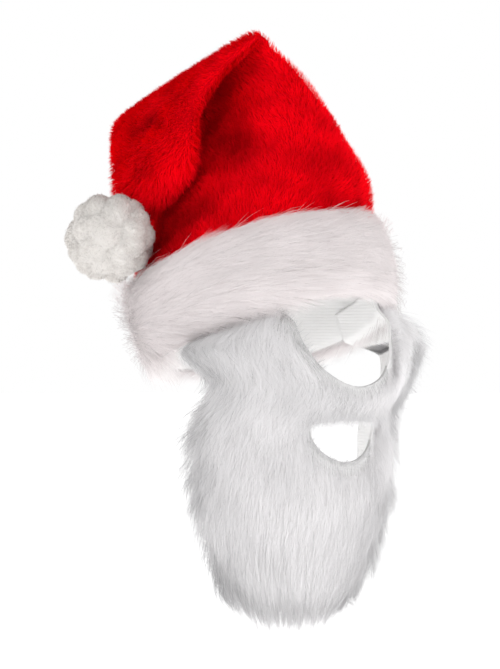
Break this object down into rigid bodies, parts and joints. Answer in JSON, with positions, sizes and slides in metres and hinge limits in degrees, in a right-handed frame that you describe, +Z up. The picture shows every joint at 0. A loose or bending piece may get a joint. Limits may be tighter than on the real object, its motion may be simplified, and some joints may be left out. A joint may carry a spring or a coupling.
{
  "type": "santa hat with beard",
  "caption": "Plush costume hat with a folded tip and pompom, a fur brim, and a hanging fur beard that is open at the eyes and the mouth.",
  "frame": {"origin": "middle of the head opening, in the plane of the brim's lower edge at the front and the sides", "axes": "+Z up as worn, the face looks along -Y, +X is the wearer's left"},
  "size_m": [0.2528, 0.2662, 0.4655],
  "materials": {
    "red_plush": "short dense pile, matt",
    "white_fur": "long soft pile, matt",
    "white_wool": "woolly tufts, matt"
  },
  "bodies": {
    "root": {"crown": "red_plush", "brim": "white_fur", "pompom": "white_wool", "beard": "white_fur"}
  },
  "joints": []
}
